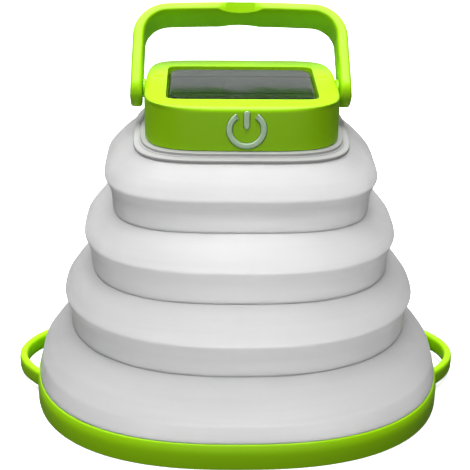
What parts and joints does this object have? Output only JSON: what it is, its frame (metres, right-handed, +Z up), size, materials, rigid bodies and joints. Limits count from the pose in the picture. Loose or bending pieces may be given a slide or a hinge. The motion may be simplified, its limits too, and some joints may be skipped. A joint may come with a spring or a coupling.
{
  "type": "folding solar lantern",
  "caption": "Folding camping lantern: solar head with a swing handle on a pleated silicone shade that telescopes into a base ring with side loops.",
  "frame": {"origin": "centre of the underside of the base ring, at table height", "axes": "+Z up through the head; the power key faces -Y; +X to the right seen from the key side"},
  "size_m": [0.143, 0.105, 0.1208],
  "materials": {
    "green_shell": "satin moulded ABS, lime green",
    "green_strap": "satin thermoplastic rubber, lime green",
    "green_rubber": "matt rubber, lime green",
    "frosted_silicone": "frosted translucent white silicone",
    "white_plastic": "satin moulded plastic, white",
    "frosted_plastic": "frosted polycarbonate",
    "screw_steel": "zinc plated",
    "socket_steel": "plated sheet steel",
    "solar_board": "dark fibreglass board",
    "solar_cell": "dark silicon",
    "busbar_metal": "tinned ribbon",
    "clear_epoxy": "clear domed epoxy",
    "key_rubber": "translucent grey-green silicone",
    "black_plastic": "moulded epoxy",
    "circuit_board": "solder mask on fibreglass",
    "battery_foil": "laminated foil pouch",
    "black_foam": "dark elastomer",
    "led_board": "white solder mask",
    "led_phosphor": "phosphor-coated chip",
    "lead_insulation": "insulated wire"
  },
  "bodies": {
    "base": {"base_ring": "green_shell", "base_pan": "white_plastic", "base_screws": "screw_steel", "shade_tier_4": "frosted_silicone", "shade_fold_4": "frosted_silicone"},
    "tier_3": {"shade_tier_3": "frosted_silicone", "shade_fold_3": "frosted_silicone"},
    "tier_2": {"shade_tier_2": "frosted_silicone", "shade_fold_2": "frosted_silicone"},
    "tier_1": {"shade_tier_1": "frosted_silicone", "shade_fold_1": "frosted_silicone"},
    "head": {"shade_collar": "white_plastic", "neck_clamp": "white_plastic", "head_shell": "green_shell", "head_tub": "white_plastic", "head_screws": "screw_steel", "solar_board": "solar_board", "solar_cells": "solar_cell", "solar_busbars": "busbar_metal", "solar_cover": "clear_epoxy", "key_switch": "black_plastic", "control_board": "circuit_board", "board_chips": "black_plastic", "board_screws": "screw_steel", "usb_socket": "socket_steel", "battery_cell": "battery_foil", "battery_pad": "black_foam", "led_board": "led_board", "led_chips": "led_phosphor", "led_diffuser": "frosted_plastic", "battery_leads": "lead_insulation", "solar_leads": "lead_insulation", "led_leads": "lead_insulation", "handle_washers": "green_strap"},
    "handle": {"handle": "green_strap"},
    "power_key": {"power_key": "key_rubber"},
    "port_cover": {"port_cover": "green_rubber"}
  },
  "joints": [
    {"name": "fold_4", "type": "slide", "parent": "base", "child": "tier_3", "axis": [0, 0, 1], "range_m": [-0.021, 0], "deforming": ["shade_fold_4"]},
    {"name": "fold_3", "type": "slide", "parent": "tier_3", "child": "tier_2", "axis": [0, 0, 1], "range_m": [-0.02, 0], "deforming": ["shade_fold_3"]},
    {"name": "fold_2", "type": "slide", "parent": "tier_2", "child": "tier_1", "axis": [0, 0, 1], "range_m": [-0.019, 0], "deforming": ["shade_fold_2"]},
    {"name": "fold_1", "type": "slide", "parent": "tier_1", "child": "head", "axis": [0, 0, 1], "range_m": [-0.004, 0], "deforming": ["shade_fold_1"]},
    {"name": "handle_pivot", "type": "hinge", "parent": "head", "child": "handle", "pos_m": [0, 0.0045, 0.098], "axis": [1, 0, 0], "range_deg": [-34, 110]},
    {"name": "key_press", "type": "slide", "parent": "head", "child": "power_key", "axis": [0, 1, 0], "range_m": [0, 0.0005], "stiffness_N_per_m": 2500},
    {"name": "port_flap", "type": "hinge", "parent": "head", "child": "port_cover", "pos_m": [0.007, 0.0249, 0.0922], "axis": [0, 0, -1], "range_deg": [0, 110]}
  ],
  "couplings": [
    {"joint": "fold_3", "follows": "fold_4", "ratio": 0.95},
    {"joint": "fold_2", "follows": "fold_4", "ratio": 0.9},
    {"joint": "fold_1", "follows": "fold_4", "ratio": 0.19}
  ]
}
